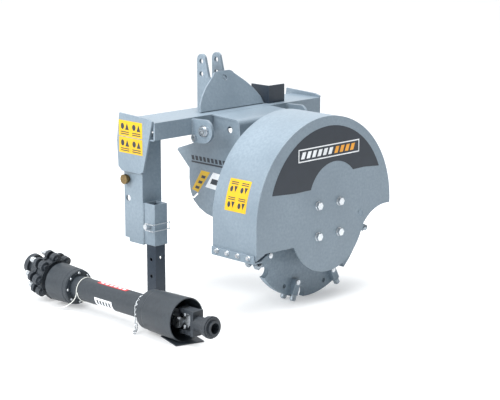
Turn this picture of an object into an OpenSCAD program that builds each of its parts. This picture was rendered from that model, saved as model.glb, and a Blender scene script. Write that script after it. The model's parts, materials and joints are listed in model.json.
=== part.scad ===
// Three-point stump grinder with a shaft-driven cutter wheel and its driveline.
// Millimetres, +Z up, -Y is the cutter side and +Y the tractor side.
// The origin is on the power input shaft's axis, level with the beam's front face.

/* [Beam] */
// Height of the beam's top above the ground
beam_h = 625; // [600:1:660]
// Length over both end plates
frame_w = 843; // [820:1:880]
// Depth of the beam, front face to back face
beam_d = 150; // [130:1:170]
// Height of the beam's flanges
beam_flange = 60; // [50:1:70]
// Thickness of the beam, post and end plates
plate_t = 8; // [6:0.5:10]

/* [Hitch] */
// Inner face of each post, from the centre line
post_in = 327; // [320:1:335]
// Radius of a lower link hole
link_hole_r = 11.3; // [11:0.1:12]
// Radius of a top link hole
top_hole_r = 9.7; // [9.5:0.1:10]
// Centre spacing of the two mast ears
ear_gap = 74; // [60:1:90]

/* [Stand] */
// Width of a leg's square tube
leg_w = 45; // [40:1:46]
// Width of a leg socket's square tube
socket_w = 57; // [57:1:60]

/* [Cutter] */
// Radius of the wheel's disc
disc_r = 290.2; // [285:0.1:292]
// Radius at the tips of the teeth
tip_r = 305; // [300:1:310]
// Thickness of the wheel's disc
disc_t = 22; // [18:1:25]
// Radius of the cutter shaft
shaft_r = 25; // [22:0.5:28]

/* [Hood] */
// Outer radius of the hood
hood_r = 338; // [332:1:345]
// Depth of the hood
hood_d = 203; // [190:1:215]
// Thickness of the hood's sheets
hood_t = 5; // [4:0.5:6]

/* [Gears] */
// Gear module
gear_m = 5; // [5:1:5]
// Teeth on the input gear
input_teeth = 31; // [31:1:31]
// Teeth on the output gear
output_teeth = 21; // [21:1:21]

/* [Driveline] */
// Distance of the driveline's axis from the centre line
line_x = -648; // [-720:1:-620]
// Radius of the guard cone's mouth
cone_r = 72; // [68:1:76]
// Radius over the clutch's lobes
clutch_r = 84; // [80:1:88]
// Outer radius of the guard tube
guard_r = 40; // [37:0.5:42]

/* [Hidden] */

paint = "#93a5b1";
black = "#2a3038";
zinc = "#c9cdd0";
bronze = "#a08a60";
steel = "#8a8f94";

run_gap = 0.05;          // radial clearance of a running fit
skin_gap = 0.3;          // clearance between parts that pass each other
shaft_x = 18;            // cutter shaft, sideways from the input shaft
gear_gap = gear_m * (input_teeth + output_teeth) / 2;
shaft_z = -sqrt(gear_gap * gear_gap - shaft_x * shaft_x);
floor_z = shaft_z - disc_r;
top_z = floor_z + beam_h;
flange_z = top_z - beam_flange;

plate_x = frame_w / 2;
post_out = plate_x - plate_t;
post_y0 = 68;            // front face of a post's web
post_y1 = 164;           // back edge of a post's walls
post_low = top_z - 435;
pin_y = 144.5;           // lower link pins and holes
pin_z = top_z - 211;
hole_z = top_z - 280;
socket_x = 381;
socket_y = post_y0 - socket_w / 2;
socket_top = top_z - 286;
socket_low = top_z - 431;
lock_z = top_z - 364;
lock_r = 6;
link_r = 11.2;

ear_y = 165;
ear_hole_z = [top_z + 116, top_z + 162];
ear_t = 10;
gusset_lean = 22;
lug_x = 237;
lug_y = -62;
lug_z = top_z - 40;

cheek_x = 137;
flap_h = 65;
hood_x = 4;
hood_z = top_z - 315;
hood_back_y = -197;
front_y = hood_back_y - hood_d;
wing_z = top_z - 405;
bearing_sq = 108;
bulge_r = 185;

wheel_y = -302;
stations = 8;
first_station = -18;     // first tooth, from straight down
case_y0 = -150;
case_y1 = -30;
case_in_r = 96;
case_out_r = 76;
case_wall = 10;

near_y = -400;           // centre of the near universal joint
far_y = 216;             // centre of the far universal joint
cone_end = near_y - 5;   // mouth of the guard cone
line_z = floor_z + cone_r;
clutch_gap = 52;         // far joint to the front of the clutch's first lobed plate
clutch_y = far_y + clutch_gap + 8;
clutch_bend = acos(cone_r / norm([clutch_r, clutch_gap])) - atan(clutch_gap / clutch_r);
lobes = 8;
lobe_ring = clutch_r - 18;
cross_len = 84;
cross_r = 11;

// ---------- helpers ----------

module along_x(x, y, z, r, len) {
    translate([x, y, z]) rotate([0, 90, 0]) cylinder(r = r, h = len, $fn = 48);
}

// A cylinder that starts at y and runs towards +Y.
module along_y(x, y, z, r, len, fn = 64) {
    translate([x, y, z]) rotate([-90, 0, 0]) cylinder(r = r, h = len, $fn = fn);
}

module up_z(x, y, z, r, len) {
    translate([x, y, z]) cylinder(r = r, h = len, $fn = 48);
}

// An outline of [y, z] points, extruded along X and centred on x.
module slab_x(pts, x, t) {
    translate([x - t / 2, 0, 0]) rotate([90, 0, 90]) linear_extrude(t) polygon(pts);
}

// An outline of [x, z] points, extruded towards +Y from y.
module slab_y(pts, y, t) {
    translate([0, y + t, 0]) rotate([90, 0, 0]) linear_extrude(t) polygon(pts);
}

// A box from its lowest corner to its highest.
module block(lo, hi) {
    translate(lo) cube(hi - lo);
}

function arc(cx, cy, r, a0, a1, n) =
    [for (i = [0:n]) [cx + r * cos(a0 + (a1 - a0) * i / n), cy + r * sin(a0 + (a1 - a0) * i / n)]];

module mirrored(side) {
    if (side < 0) mirror([1, 0, 0]) children();
    else children();
}

// Hexagon bolt head with its washer, standing towards -Y from y.
module bolt_head_y(x, y, z, af) {
    along_y(x, y - 2, z, af * 0.62, 2, 32);
    translate([x, y - 2, z]) rotate([90, 0, 0]) cylinder(d = af / cos(30), h = af * 0.42, $fn = 6);
}

// ---------- frame ----------

module beam() color(paint) {
    half = plate_x - plate_t;
    difference() {
        block([-half, 0, flange_z], [half, beam_d, top_z]);
        block([-half - 1, plate_t, flange_z - 1], [half + 1, beam_d - plate_t, top_z - plate_t]);
    }
}

module end_plate(side) color(paint) {
    outline = [
        [176, top_z + 18], [31, top_z + 12], [5, top_z + 5],
        [55, top_z - 175], [71, top_z - 184], [166, top_z - 185],
        [185, top_z - 170], [190, top_z - 79]
    ];
    slab_x(outline, side * (plate_x - plate_t / 2), plate_t);
}

module post(side) color(paint) mirrored(side) {
    difference() {
        union() {
            block([post_out - plate_t, post_y0, post_low], [post_out, post_y1, flange_z]);
            block([post_in, post_y0, post_low], [post_in + plate_t, post_y1, flange_z]);
            block([post_in, post_y0, post_low], [post_out, post_y0 + plate_t, flange_z]);
        }
        along_x(post_in - 1, pin_y, pin_z, link_hole_r, post_out - post_in + 2);
        along_x(post_in - 1, pin_y, hole_z, link_hole_r, post_out - post_in + 2);
        block([post_in - 1, post_y1 - 22, post_low - 1], [post_out + 1, post_y1 + 1, post_low + 14]);
    }
}

module socket(side) color(paint) mirrored(side) {
    wall = (socket_w - leg_w) / 2 - 0.5;
    w = socket_w / 2;
    difference() {
        block([socket_x - w, socket_y - w, socket_low], [socket_x + w, socket_y + w, socket_top]);
        block([socket_x - w + wall, socket_y - w + wall, socket_low - 1],
              [socket_x + w - wall, socket_y + w - wall, socket_top + 1]);
        along_x(socket_x - w - 1, socket_y, lock_z, lock_r + 0.5, socket_w + 2);
    }
}

module leg(side) color(black) mirrored(side) {
    w = leg_w / 2;
    difference() {
        block([socket_x - w, socket_y - w, floor_z + 8], [socket_x + w, socket_y + w, socket_top - 8]);
        block([socket_x - w + 4, socket_y - w + 4, floor_z + 9],
              [socket_x + w - 4, socket_y + w - 4, socket_top - 7]);
        for (k = [0:3]) along_x(socket_x - w - 1, socket_y, lock_z - 60 * k, lock_r + 0.5, leg_w + 2);
        along_y(socket_x, socket_y - w - 1, top_z - 478, lock_r + 0.5, leg_w + 2, 32);
    }
    block([socket_x - 45, socket_y - 45, floor_z], [socket_x + 45, socket_y + 45, floor_z + 8]);
}

module leg_pin(side) color(zinc) mirrored(side) {
    reach = socket_w / 2 + 10;
    along_x(socket_x - reach, socket_y, lock_z, lock_r, 2 * reach + 1);
    along_x(socket_x + reach - 9, socket_y, lock_z, 9, 20);
}

// Wire loop that hinges on the pin's head and lies across the tube's front.
module bail(side) color(zinc) mirrored(side) {
    r = 2;
    thin_r = 1.7;
    x1 = socket_x + socket_w / 2 + 17;
    x0 = socket_x - socket_w / 2 - 5;
    y1 = socket_y - socket_w / 2 - 8;
    for (dz = [-11.5, 11.5]) {
        along_y(x1, y1 - 2.3, lock_z + dz, r, socket_y - y1 + 4.6, 20);
        along_x(x0, y1, lock_z + dz, thin_r, x1 - x0);
    }
    up_z(x0, y1, lock_z - 13.8, r, 27.6);
    up_z(x1, socket_y, lock_z - 11.5, 1.6, 2.2);
    up_z(x1, socket_y, lock_z + 9.3, 1.6, 2.2);
}

module link_pin(side) color(bronze) mirrored(side) {
    along_x(post_in - 30, pin_y, pin_z, link_r, plate_x - post_in + 30);
    along_x(plate_x, pin_y, pin_z, 17, 12);
}

module ear(side) color(paint) {
    outline = concat(
        [[beam_d, top_z], [beam_d, top_z - 50], [187, top_z - 50]],
        arc(ear_y, ear_hole_z[1] + 4, 22, 0, 150, 12),
        [[128, top_z + 110], [60, top_z]]
    );
    difference() {
        slab_x(outline, side * ear_gap / 2, ear_t);
        for (z = ear_hole_z) along_x(side * ear_gap / 2 - ear_t, ear_y, z, top_hole_r, 2 * ear_t);
    }
}

// Bell-shaped plate that leans back against the ears.
module front_gusset() color(paint) {
    outline = concat(
        [[-157, 0], [-150, 26], [-128, 58], [-98, 88]],
        arc(-28, 112, 26, 150, 90, 5),
        arc(28, 112, 26, 90, 30, 5),
        [[98, 88], [128, 58], [150, 26], [157, 0]]
    );
    translate([0, 52, top_z]) rotate([90 - gusset_lean, 0, 0]) difference() {
        linear_extrude(plate_t) polygon(outline);
        translate([0, 112, -1]) cylinder(r = 11, h = plate_t + 2, $fn = 48);
    }
}

// Folded black angle standing on the beam.
module mast_flap() color(black) {
    block([168, 30, top_z], [250, 36, top_z + flap_h]);
    block([168, 36, top_z], [174, 120, top_z + flap_h]);
}

module lug(side) color(paint) {
    outline = concat(
        [[0, top_z - 4], [0, top_z - 86], [-62, top_z - 84]],
        arc(-58, lug_z - 1, 42, 250, 110, 14)
    );
    difference() {
        slab_x(outline, side * lug_x, ear_t);
        along_x(side * lug_x - ear_t, lug_y, lug_z, 12.5, 2 * ear_t);
    }
}

module lug_bolts() color(zinc) {
    for (side = [-1, 1]) mirrored(side) {
        difference() {
            union() {
                along_x(lug_x - ear_t / 2 - 18, lug_y, lug_z, 12.4, ear_t + 24);
                along_x(lug_x + ear_t / 2, lug_y, lug_z, 20, 6);
                along_x(lug_x + ear_t / 2 + 6, lug_y, lug_z, 16, 9);
            }
            along_x(lug_x + ear_t / 2 + 5, lug_y, lug_z, 8, 12);
        }
        translate([lug_x + ear_t / 2, -14, lug_z - 28]) rotate([0, 90, 0]) cylinder(r = 11, h = 10, $fn = 6);
    }
}

// Side shield of the power input, with the opening for its pin.
module cheek(side) color(paint) {
    outline = concat(
        [[0, top_z - 6], [-118, top_z - 12], [-131, top_z - 30], [-134, top_z - 68]],
        [[hood_back_y, top_z - 120], [hood_back_y, top_z - 385], [8, top_z - 370]],
        [[39, top_z - 364], [75, top_z - 348], [106, top_z - 323], [122, top_z - 289]],
        [[127, top_z - 245], [126, top_z - 209], [189, top_z - 151], [184, top_z - 143]],
        [[111, top_z - 118], [0, top_z - beam_flange]]
    );
    difference() {
        slab_x(outline, side * cheek_x, 6);
        along_x(side * cheek_x - 10, -82, top_z - 46, 12, 20);
        translate([side * cheek_x, 96, top_z - 306]) rotate([-40, 0, 0]) cube([20, 34, 8], center = true);
    }
}

// Sheet that bridges the two cheeks in front of the beam.
module bridge_sheet() color(paint) {
    outline = concat(
        [[0, top_z - 6], [0, top_z - 0.5]],
        arc(-114, top_z - 27, 21, 90, 172, 8),
        [[-139, top_z - 68], [-134, top_z - 68]],
        [[-131, top_z - 30], [-118, top_z - 12]]
    );
    slab_x(outline, 0, 2 * cheek_x + 16);
}

// ---------- hood ----------

module hood_rim() color(paint) {
    difference() {
        along_y(hood_x, front_y, hood_z, hood_r, hood_d, 160);
        along_y(hood_x, front_y - 1, hood_z, hood_r - hood_t, hood_d + 2, 160);
        block([-400, front_y - 1, hood_z - 400], [0, hood_back_y + 1, hood_z]);
        block([0, front_y - 1, hood_z - 400], [400, hood_back_y + 1, hood_z - 12]);
    }
    block([hood_x - hood_r, front_y, wing_z - 17], [hood_x - hood_r + hood_t, hood_back_y, hood_z]);
}

module hood_back() color(paint) {
    r = hood_r - hood_t;
    outline = concat(
        [[hood_x - r, wing_z - 17]],
        arc(hood_x, hood_z, r, 180, -2, 60),
        [[hood_x + 250, wing_z - 17]]
    );
    difference() {
        slab_y(outline, hood_back_y - hood_t, hood_t);
        along_y(shaft_x, hood_back_y - 10, shaft_z, 62, 20);
    }
}

// Front plate: hood arc, round bulge over the shaft, and a notch at the right.
module front_plate() color(paint) {
    notch = [318, top_z - 478];
    outline = concat(
        [[hood_x - hood_r, wing_z - 17]],
        arc(hood_x, hood_z, hood_r, 180, -2, 60),
        arc(notch[0], notch[1], 152, 90, 143, 10),
        arc(shaft_x, shaft_z, bulge_r, -26, -157, 30),
        [[-290, wing_z + 2]]
    );
    difference() {
        slab_y(outline, front_y - hood_t, hood_t);
        along_y(shaft_x + 167, front_y - 20, shaft_z - 6, 11, 40, 48);
        for (sx = [-0.5, 0.5], sz = [-0.5, 0.5])
            along_y(shaft_x + sx * bearing_sq, front_y - 20, shaft_z + sz * bearing_sq, 8.3, 40, 32);
    }
}

flange_ys = [for (k = [0:3]) front_y + 26 + 50 * k];

// Bolted strap along the lower left edge of the hood.
module hood_flange() color(paint) {
    x = hood_x - hood_r;
    block([x - 6, front_y + 1, wing_z - 22], [x, hood_back_y, wing_z + 1]);
    block([x - 6, front_y + 1, wing_z - 28], [x + 34, hood_back_y, wing_z - 22]);
}

module flange_bolts() color(zinc) {
    x = hood_x - hood_r - 6;
    for (y = flange_ys) {
        translate([x - 1.5, y, wing_z - 10]) rotate([0, 90, 0]) cylinder(r = 8.5, h = 1.5, $fn = 32);
        translate([x - 8, y, wing_z - 10]) rotate([0, 90, 0]) cylinder(r = 7, h = 6.5, $fn = 6);
    }
}

module front_bearing() color(steel) {
    difference() {
        union() {
            block([shaft_x - 72, front_y, shaft_z - 72], [shaft_x + 72, front_y + 14, shaft_z + 72]);
            along_y(shaft_x, front_y + 14, shaft_z, 52, 22);
        }
        along_y(shaft_x, front_y - 1, shaft_z, shaft_r + run_gap, 60);
        for (sx = [-0.5, 0.5], sz = [-0.5, 0.5])
            along_y(shaft_x + sx * bearing_sq, front_y - 20, shaft_z + sz * bearing_sq, 8.3, 40, 32);
    }
}

module bearing_bolts() color(zinc) {
    for (sx = [-0.5, 0.5], sz = [-0.5, 0.5]) {
        x = shaft_x + sx * bearing_sq;
        z = shaft_z + sz * bearing_sq;
        along_y(x, front_y - hood_t, z, 8, hood_t + 26, 32);
        bolt_head_y(x, front_y - hood_t, z, 24);
        translate([x, front_y + 28, z]) rotate([90, 0, 0]) cylinder(r = 13.5, h = 13.5, $fn = 6);
    }
}

// ---------- gearbox ----------

module case_outline(grow, y, len) {
    along_y(0, y, 0, case_in_r + grow, len, 96);
    along_y(shaft_x, y, shaft_z, case_out_r + grow, len, 96);
    hull() {
        along_y(0, y, 0, case_out_r + grow, len, 48);
        along_y(shaft_x, y, shaft_z, case_out_r + grow, len, 48);
    }
}

module gearbox_case() color(black) {
    difference() {
        case_outline(0, case_y0, case_y1 - case_y0);
        case_outline(-case_wall, case_y0 - 1, case_y1 - case_y0 - 11);
        along_y(0, case_y1 - 20, 0, 36, 40);
        along_y(shaft_x, case_y1 - 20, shaft_z, 45, 40);
    }
}

module gearbox_cover() color(black) {
    difference() {
        union() {
            case_outline(0, case_y0 - 12, 12);
            along_y(shaft_x, hood_back_y, shaft_z, 60, 36);
        }
        along_y(shaft_x, hood_back_y - 1, shaft_z, 45, 60);
        along_y(0, case_y0 - 13, 0, 36, 40);
    }
    along_y(0, case_y0 - 16, 0, 44, 4);
}

module gearbox_bolts() color(zinc) {
    for (a = [20, 65, 115, 160]) {
        x = (case_in_r - 5) * cos(a);
        z = (case_in_r - 5) * sin(a);
        bolt_head_y(x, case_y0 - 12, z, 13);
    }
    for (a = [-150, -100, -40]) {
        x = shaft_x + (case_out_r - 5) * cos(a);
        z = shaft_z + (case_out_r - 5) * sin(a);
        bolt_head_y(x, case_y0 - 12, z, 13);
    }
}

module ring_y(x, y, z, ro, ri, len) {
    difference() {
        along_y(x, y, z, ro, len);
        along_y(x, y - 1, z, ri, len + 2);
    }
}

module gearbox_bearings() color(steel) {
    ring_y(0, case_y1 - 12, 0, 36, 20 + run_gap, 12);
    ring_y(0, case_y0 - 12, 0, 36, 20 + run_gap, 12);
    ring_y(shaft_x, case_y1 - 12, shaft_z, 45, shaft_r + run_gap, 12);
    ring_y(shaft_x, hood_back_y + 4, shaft_z, 45, shaft_r + run_gap, 24);
}

// Gear outline: six points to a tooth, thinned for backlash.
function gear_pts(n, thick) = [
    for (i = [0:n - 1]) for (k = [0:5])
        let (
            pitch_r = n * gear_m / 2,
            r = [pitch_r - 1.2 * gear_m, pitch_r, pitch_r + 0.85 * gear_m,
                 pitch_r + 0.85 * gear_m, pitch_r, pitch_r - 1.2 * gear_m][k],
            w = 360 / n * thick * [-0.75, -0.5, -0.25, 0.25, 0.5, 0.75][k],
            a = 360 / n * i + w
        ) [r * cos(a), r * sin(a)]
];

module gear(n, phase, bore) {
    rotate([-90, phase, 0]) difference() {
        linear_extrude(30) polygon(gear_pts(n, 0.42));
        translate([0, 0, -1]) cylinder(r = bore, h = 32, $fn = 64);
    }
}

mesh_dir = atan2(shaft_z, shaft_x);
gear_y = -115;

module input_gear() color(steel) translate([0, gear_y, 0]) gear(input_teeth, -mesh_dir, 20);

module output_gear() color(steel)
    translate([shaft_x, gear_y, shaft_z]) gear(output_teeth, -(mesh_dir + 180 + 180 / output_teeth), shaft_r);

// Splined stub towards the tractor, with the groove for the yoke's balls.
module input_shaft() color(steel) {
    difference() {
        union() {
            along_y(0, case_y0 - 11, 0, 20, case_y1 - case_y0 + 11 + 20);
            along_y(0, case_y1 + 20, 0, 17.4, 80);
        }
        for (k = [0:5]) rotate([0, 60 * k, 0]) block([-3.4, case_y1 + 24, 15], [3.4, 75, 20]);
        ring_y(0, 48, 0, 19, 15.5, 8);
    }
}

// ---------- cutter ----------

function station(k) = -90 + first_station + 360 / stations * k;

module at_station(k) {
    translate([shaft_x, wheel_y, shaft_z]) rotate([0, -station(k), 0]) children();
}

module cutter_shaft() color(steel)
    along_y(shaft_x, front_y + 3, shaft_z, shaft_r, -38 - front_y - 3);

module cutter_disc() color("#b9c3ca") {
    difference() {
        along_y(shaft_x, wheel_y - disc_t / 2, shaft_z, disc_r, disc_t, 160);
        along_y(shaft_x, wheel_y - disc_t, shaft_z, shaft_r, 2 * disc_t);
        for (k = [0:stations - 1]) at_station(k) {
            along_y(disc_r - 18, -disc_t, 42, 24, 2 * disc_t, 40);
            along_y(disc_r - 52, -disc_t, 4, 9, 2 * disc_t, 32);
            along_y(disc_r - 30, -disc_t, -44, 8, 2 * disc_t, 32);
        }
        for (a = [0:60:359]) translate([shaft_x, 0, shaft_z]) rotate([0, a, 0])
            along_y(62, wheel_y - disc_t, 0, 8.3, 2 * disc_t, 32);
    }
}

module cutter_hub() color(steel) {
    difference() {
        union() {
            along_y(shaft_x, wheel_y + disc_t / 2, shaft_z, 80, 14);
            along_y(shaft_x, wheel_y + disc_t / 2 + 14, shaft_z, 42, 34);
        }
        along_y(shaft_x, wheel_y, shaft_z, shaft_r, 100);
        for (a = [0:60:359]) translate([shaft_x, 0, shaft_z]) rotate([0, a, 0])
            along_y(62, wheel_y, 0, 8.3, 60, 32);
    }
}

module hub_bolts() color(zinc) {
    for (a = [0:60:359]) translate([shaft_x, 0, shaft_z]) rotate([0, a, 0]) {
        along_y(62, wheel_y - disc_t / 2, 0, 8, disc_t + 26, 32);
        bolt_head_y(62, wheel_y - disc_t / 2, 0, 22);
    }
}

// Two pockets at each station, one on each face of the disc.
module tooth_pockets() color("#9aa5ad") {
    for (k = [0:stations - 1], s = [-1, 1]) at_station(k) mirror([0, s < 0 ? 1 : 0, 0]) difference() {
        block([disc_r - 62, disc_t / 2, -14], [disc_r - 6, disc_t / 2 + 20, 12]);
        along_y(disc_r - 52, 0, 4 - 8, 5.2, 60, 24);
    }
}

module cutter_teeth() color("#c9d2d8") {
    for (k = [0:stations - 1], s = [-1, 1]) at_station(k) mirror([0, s < 0 ? 1 : 0, 0])
        translate([disc_r - 6, disc_t / 2 + 11 + skin_gap, 0]) rotate([0, 90, 0]) {
            cylinder(r = 11, h = tip_r - disc_r - 4 + 6, $fn = 32);
            translate([0, 0, tip_r - disc_r + 2]) cylinder(r1 = 11, r2 = 7, h = 3.9, $fn = 32);
        }
}

module pocket_bolts() color(zinc) {
    for (k = [0:stations - 1], s = [-1, 1]) at_station(k) mirror([0, s < 0 ? 1 : 0, 0]) {
        along_y(disc_r - 52, disc_t / 2, -4, 5, 26, 24);
        translate([disc_r - 52, disc_t / 2 + 20, -4]) rotate([-90, 0, 0]) cylinder(r = 9, h = 5, $fn = 32);
    }
}

// ---------- driveline ----------

// The clutch is wider than the guard, so it leans up at the far joint until its
// lowest lobe just touches the ground.
module bent() {
    translate([0, far_y, line_z]) rotate([clutch_bend, 0, 0]) translate([0, -far_y, -line_z]) children();
}

module line_y(y, r, len, fn = 64) {
    along_y(line_x, y, line_z, r, len, fn);
}

// A shell of revolution about the driveline's axis, from [radius, y] points.
module line_turn(pts) {
    translate([line_x, 0, line_z]) rotate([-90, 0, 0]) rotate_extrude($fn = 96) polygon(pts);
}

tube_end = far_y - 68;

module guard_tube() color(black)
    line_turn([[guard_r - 3, -225], [guard_r, -225], [guard_r, tube_end], [guard_r - 3, tube_end]]);

module guard_bell() color(black) line_turn([
    [guard_r, far_y - 82], [56, far_y - 82], [60, far_y - 78], [60, far_y - 66],
    [62, far_y - 64], [66, far_y + 20], [62.5, far_y + 20], [58.5, far_y - 62],
    [56.5, far_y - 64], [56.5, far_y - 75], [54.5, far_y - 76], [guard_r, far_y - 76]
]);

module inner_guard() color(black) line_turn([[33, -262], [36.6, -262], [36.6, 20], [33, 20]]);

// The cone stands on a flat moulded foot.
module guard_cone() color(black) {
    line_turn([
        [36.6, -262], [36.6, -234], [62, -234], [66, -238], [66, -262], [68, -266],
        [cone_r, cone_end], [cone_r - 3.5, cone_end], [64.5, -268], [62.5, -264],
        [62.5, -239.5], [60.5, -238], [40, -238], [40, -262]
    ]);
    translate([line_x + 8, near_y + 24, floor_z]) rotate([0, 0, -17])
        block([-50, -57, 0], [50, 57, 3]);
}

// Fork: hub, cheek arms along the axis, and bores for the cross.
// dir is +1 when the arms point towards +Y, turn sets the arms' plane.
module fork(y, dir, turn, hub_r, hub_len) {
    arm_t = 13;
    gap = 28;
    reach = 46;
    translate([line_x, y, line_z]) rotate([0, turn, 0]) difference() {
        union() {
            for (s = [-1, 1]) {
                x0 = s > 0 ? gap : -gap - arm_t;
                translate([x0, dir > 0 ? -reach : 0, -17]) cube([arm_t, reach, 34]);
                along_x(x0, 0, 0, 19, arm_t);
            }
            translate([-gap - arm_t, dir > 0 ? -reach - 13 : reach, -22]) cube([2 * (gap + arm_t), 13, 44]);
            along_y(0, dir > 0 ? -reach - hub_len : reach, 0, hub_r, hub_len);
        }
        along_x(-60, 0, 0, cross_r + run_gap, 120);
    }
}

module cross_at(y) {
    half = cross_len / 2;
    translate([line_x, y, line_z]) {
        along_x(-half + 1, 0, 0, cross_r, cross_len - 2);
        up_z(0, 0, -half + 1, cross_r, cross_len - 2);
        rotate([90, 0, 0]) translate([0, 0, -17]) cylinder(r = 17, h = 34, $fn = 48);
    }
}

module profile_tube() color(steel) {
    difference() {
        union() {
            fork(far_y, 1, 0, 26, 30);
            block([line_x - 22, -180, line_z - 22], [line_x + 22, far_y - 70, line_z + 22]);
        }
        block([line_x - 18, -181, line_z - 18], [line_x + 18, far_y - 78, line_z + 18]);
    }
}

module profile_bar() color(steel) {
    fork(near_y, -1, 0, 26, 60);
    block([line_x - 17.4, near_y + 100, line_z - 17.4], [line_x + 17.4, 60, line_z + 17.4]);
}

module near_cross() color(steel) cross_at(near_y);
module far_cross() color(steel) cross_at(far_y);

module near_yoke() color(black) {
    difference() {
        union() {
            fork(near_y, 1, 90, 24, 60);
            line_y(near_y - 136, 24, 40);
        }
        line_y(near_y - 137, 17.5, 70);
    }
}

// Quick release collar on the splined end.
module release_collar() color(black) {
    translate([line_x, near_y - 128, line_z]) rotate([-90, 0, 0]) difference() {
        union() {
            cylinder(r = 33, h = 26, $fn = 64);
            translate([0, 0, 5]) cylinder(r = 36, h = 8, $fn = 64);
        }
        translate([0, 0, -1]) cylinder(r = 24 + run_gap, h = 40, $fn = 64);
    }
}

module on_lobes() {
    for (k = [0:lobes - 1]) translate([line_x, 0, line_z]) rotate([0, 360 / lobes * k, 0])
        translate([lobe_ring, 0, 0]) children();
}

// Round plate with a lobe at each bolt.
module lobed_plate(y, t, bore) {
    difference() {
        union() {
            line_y(y, lobe_ring - 2, t, 96);
            on_lobes() along_y(0, y, 0, clutch_r - lobe_ring, t, 32);
        }
        on_lobes() along_y(0, y - 1, 0, 6, t + 2, 24);
        line_y(y - 1, bore, t + 2);
    }
}

module clutch_yoke() color(black) {
    fork(far_y, -1, 90, 30, clutch_y - 14 - far_y - 46 + 8);
    difference() {
        line_y(clutch_y - 12, lobe_ring - 4, 11, 96);
        line_y(clutch_y - 4, 31, 4);
    }
    lobed_plate(clutch_y - 8, 7, 40);
    on_lobes() {
        along_y(0, clutch_y - 9, 0, 5, 74, 24);
        translate([0, clutch_y - 8, 0]) rotate([90, 0, 0]) cylinder(r = 9, h = 7, $fn = 6);
    }
}

module clutch_plates() color("#3a4048") {
    lobed_plate(clutch_y, 11, 31);
    difference() {
        line_y(clutch_y + 12, lobe_ring - 7, 13, 96);
        line_y(clutch_y + 11, 31, 15);
    }
    lobed_plate(clutch_y + 26, 12, 31);
}

module clutch_springs() color(steel) {
    on_lobes() {
        ring_y(0, clutch_y + 39, 0, 10.5, 5.6, 22);
        ring_y(0, clutch_y + 61.5, 0, 10, 5.1, 8);
    }
}

// Splined hub with the tractor end's locking collar.
module clutch_hub() color(black) {
    difference() {
        union() {
            line_y(clutch_y, 30, 60);
            line_y(clutch_y + 60, 36, 20);
            line_y(clutch_y + 80, 27, 44);
            line_y(clutch_y + 102, 38, 18);
        }
        line_y(clutch_y + 40, 17.5, 160);
    }
}

beam();
end_plate(-1);  // left_end_plate
end_plate(1);  // right_end_plate
post(-1);  // left_post
post(1);  // right_post
socket(-1);  // left_socket
socket(1);  // right_socket
ear(-1);  // left_ear
ear(1);  // right_ear
front_gusset();
mast_flap();
lug(-1);  // left_lug
lug(1);  // right_lug
lug_bolts();
cheek(-1);  // left_cheek
cheek(1);  // right_cheek
bridge_sheet();
hood_rim();
hood_back();
front_plate();
hood_flange();
flange_bolts();
front_bearing();
bearing_bolts();
gearbox_case();
gearbox_cover();
gearbox_bolts();
gearbox_bearings();
leg(-1);  // left_leg
leg(1);  // right_leg
cutter_shaft();
cutter_disc();
cutter_hub();
hub_bolts();
tooth_pockets();
cutter_teeth();
pocket_bolts();
output_gear();
input_shaft();
input_gear();
link_pin(-1);  // left_link_pin
link_pin(1);  // right_link_pin
leg_pin(-1);  // left_leg_pin
leg_pin(1);  // right_leg_pin
bail(-1);  // left_bail
bail(1);  // right_bail
guard_tube();
guard_bell();
inner_guard();
guard_cone();
profile_tube();
profile_bar();
near_cross();
near_yoke();
release_collar();
bent() far_cross();
bent() clutch_yoke();
bent() clutch_plates();
bent() clutch_springs();
bent() clutch_hub();
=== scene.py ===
# %% [markdown]
# A three-point stump grinder. The CAD model is loaded first as a fixed frame: its parts, sizes and
# joints are settled, and this script only adds looks.

# %% Load the frame
import json
import math

import bmesh
import bpy
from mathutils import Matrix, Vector


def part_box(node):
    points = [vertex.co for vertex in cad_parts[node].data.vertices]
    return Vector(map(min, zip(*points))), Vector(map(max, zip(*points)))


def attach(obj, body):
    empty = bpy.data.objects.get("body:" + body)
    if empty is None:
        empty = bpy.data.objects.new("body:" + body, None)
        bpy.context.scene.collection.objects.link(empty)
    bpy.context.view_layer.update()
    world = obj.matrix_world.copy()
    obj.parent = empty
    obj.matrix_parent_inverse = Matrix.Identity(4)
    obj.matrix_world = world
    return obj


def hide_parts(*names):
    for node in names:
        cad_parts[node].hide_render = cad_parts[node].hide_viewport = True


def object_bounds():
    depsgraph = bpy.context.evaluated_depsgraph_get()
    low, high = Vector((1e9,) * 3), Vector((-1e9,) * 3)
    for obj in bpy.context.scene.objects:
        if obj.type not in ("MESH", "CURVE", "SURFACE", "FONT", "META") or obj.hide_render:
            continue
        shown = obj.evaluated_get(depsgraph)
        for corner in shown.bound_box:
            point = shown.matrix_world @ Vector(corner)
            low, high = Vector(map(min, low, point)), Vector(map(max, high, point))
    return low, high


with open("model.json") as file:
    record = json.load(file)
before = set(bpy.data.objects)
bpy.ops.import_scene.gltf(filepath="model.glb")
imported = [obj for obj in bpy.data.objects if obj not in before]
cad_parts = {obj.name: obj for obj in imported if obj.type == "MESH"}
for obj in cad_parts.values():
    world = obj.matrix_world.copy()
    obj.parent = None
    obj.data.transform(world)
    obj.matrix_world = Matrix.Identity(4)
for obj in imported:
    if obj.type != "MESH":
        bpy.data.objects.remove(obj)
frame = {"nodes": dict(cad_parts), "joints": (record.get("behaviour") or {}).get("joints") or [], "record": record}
cad_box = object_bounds()
MM = 0.001

# %% [markdown]
# The camera stands off the front left corner of the machine, a little above it. It is far away with
# a long lens, so that verticals stay nearly parallel.

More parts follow.
